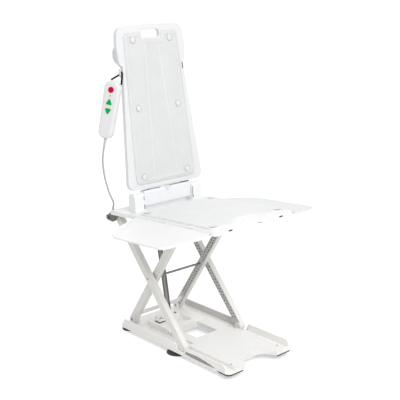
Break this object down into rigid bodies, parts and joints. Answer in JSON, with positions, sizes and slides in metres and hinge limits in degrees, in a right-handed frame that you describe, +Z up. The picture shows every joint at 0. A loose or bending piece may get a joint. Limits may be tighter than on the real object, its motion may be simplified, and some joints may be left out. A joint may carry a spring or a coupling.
{
  "type": "bath lift",
  "caption": "Bath lift: a scissor frame raises a seat with folding side flaps and a reclining backrest, with a corded handset.",
  "frame": {"origin": "middle of the footprint, from the front of the base to the rear of the drive, at floor level under the suction cups", "axes": "+Z up, +Y towards the rear, so the sitter faces -Y, and +X to the sitter's left"},
  "size_m": [0.7102, 0.634, 1.1099],
  "materials": {
    "white_plastic": "satin",
    "arm_plastic": "satin",
    "cover_foam": "matte",
    "steel": "satin",
    "drive_grey": "satin",
    "black_rubber": "matte",
    "cup_rubber": "satin",
    "handset_plastic": "satin",
    "red_key": "satin",
    "green_key": "satin",
    "lens": "gloss",
    "cord_grey": "satin",
    "board_green": "matte",
    "battery_wrap": "matte"
  },
  "bodies": {
    "base": {"base_tray": "white_plastic", "foot_platform": "white_plastic", "rear_housing": "white_plastic", "side_rail_left": "arm_plastic", "side_rail_right": "arm_plastic", "base_pivot_pins": "steel", "suction_cups": "cup_rubber", "cup_studs": "white_plastic", "front_pads": "black_rubber", "base_screws": "steel", "lead_sleeve": "black_rubber"},
    "rear_arms": {"rear_arm_left": "arm_plastic", "rear_arm_right": "arm_plastic", "rear_arm_crossbar": "arm_plastic", "centre_axle": "steel", "upper_rollers": "white_plastic", "upper_roller_pins": "steel"},
    "front_arms": {"front_arm_left": "arm_plastic", "front_arm_right": "arm_plastic", "lower_rollers": "white_plastic", "top_pivot_pins": "steel"},
    "nut": {"drive_nut": "drive_grey"},
    "seat": {"seat_shell": "white_plastic", "seat_cover": "cover_foam", "seat_cover_buttons": "white_plastic", "seat_track_left": "white_plastic", "seat_track_right": "white_plastic", "hinge_cheek_left": "white_plastic", "hinge_cheek_right": "white_plastic", "back_hinge_pin": "steel", "pivot_bracket_left": "drive_grey", "pivot_bracket_right": "drive_grey", "drive_tube": "drive_grey", "drive_motor": "steel", "screw_gearbox": "drive_grey", "lead_screw": "steel", "screw_bearing": "white_plastic", "flap_hinge_pins": "steel", "cord_gland": "black_rubber", "lead_gland": "black_rubber"},
    "left_flap": {"flap_left": "white_plastic"},
    "right_flap": {"flap_right": "white_plastic"},
    "backrest": {"back_bracket": "white_plastic", "back_panel": "white_plastic", "back_cover": "cover_foam", "back_cover_buttons": "white_plastic", "head_lugs": "white_plastic", "strap_hook": "white_plastic", "handset_front_shell": "handset_plastic", "handset_rear_shell": "handset_plastic", "handset_battery": "battery_wrap", "handset_board": "board_green", "handset_strap": "black_rubber", "strain_relief": "cord_grey", "light_lens": "lens", "handset_cord": "cord_grey"},
    "latch": {"latch_tab": "white_plastic"},
    "stop_key": {"stop_button": "red_key"},
    "up_key": {"up_button": "green_key"},
    "down_key": {"down_button": "green_key"}
  },
  "joints": [
    {"name": "lift", "type": "hinge", "parent": "base", "child": "rear_arms", "pos_m": [0, 0.23017, 0.04], "axis": [1, 0, 0], "range_deg": [0, 54], "deforming": ["lead_sleeve"]},
    {"name": "cross", "type": "hinge", "parent": "rear_arms", "child": "front_arms", "pos_m": [0, 0.09897, 0.24204], "axis": [1, 0, 0], "range_deg": [-99.87, 0.05]},
    {"name": "level", "type": "hinge", "parent": "front_arms", "child": "seat", "pos_m": [0, 0.27803, 0.44407], "axis": [1, 0, 0], "range_deg": [-0.05, 50.1]},
    {"name": "nut_turn", "type": "hinge", "parent": "rear_arms", "child": "nut", "pos_m": [0, -0.04863, 0.46932], "axis": [1, 0, 0], "range_deg": [-49.82, 0.05]},
    {"name": "recline", "type": "hinge", "parent": "seat", "child": "backrest", "pos_m": [0, 0.17197, 0.52], "axis": [-1, 0, 0], "range_deg": [0, 40], "deforming": ["handset_cord"]},
    {"name": "left_flap_fold", "type": "hinge", "parent": "seat", "child": "left_flap", "pos_m": [0.1893, -0.06004, 0.48223], "axis": [0, -0.997, 0.077], "range_deg": [0, 90]},
    {"name": "right_flap_fold", "type": "hinge", "parent": "seat", "child": "right_flap", "pos_m": [-0.1893, -0.06004, 0.48223], "axis": [0, 0.997, -0.077], "range_deg": [0, 90]},
    {"name": "latch_slide", "type": "slide", "parent": "backrest", "child": "latch", "axis": [0, 0, -1], "range_m": [0, 0.005], "stiffness_N_per_m": 600},
    {"name": "stop_press", "type": "slide", "parent": "backrest", "child": "stop_key", "axis": [0.8985, 0.4325, -0.0757], "range_m": [0, 0.0012], "stiffness_N_per_m": 900},
    {"name": "up_press", "type": "slide", "parent": "backrest", "child": "up_key", "axis": [0.8985, 0.4325, -0.0757], "range_m": [0, 0.0012], "stiffness_N_per_m": 900},
    {"name": "down_press", "type": "slide", "parent": "backrest", "child": "down_key", "axis": [0.8985, 0.4325, -0.0757], "range_m": [0, 0.0012], "stiffness_N_per_m": 900}
  ],
  "couplings": [
    {"joint": "cross", "follows": "lift", "ratio": -1.8484},
    {"joint": "level", "follows": "lift", "ratio": 0.92678},
    {"joint": "nut_turn", "follows": "lift", "ratio": -0.92167}
  ]
}
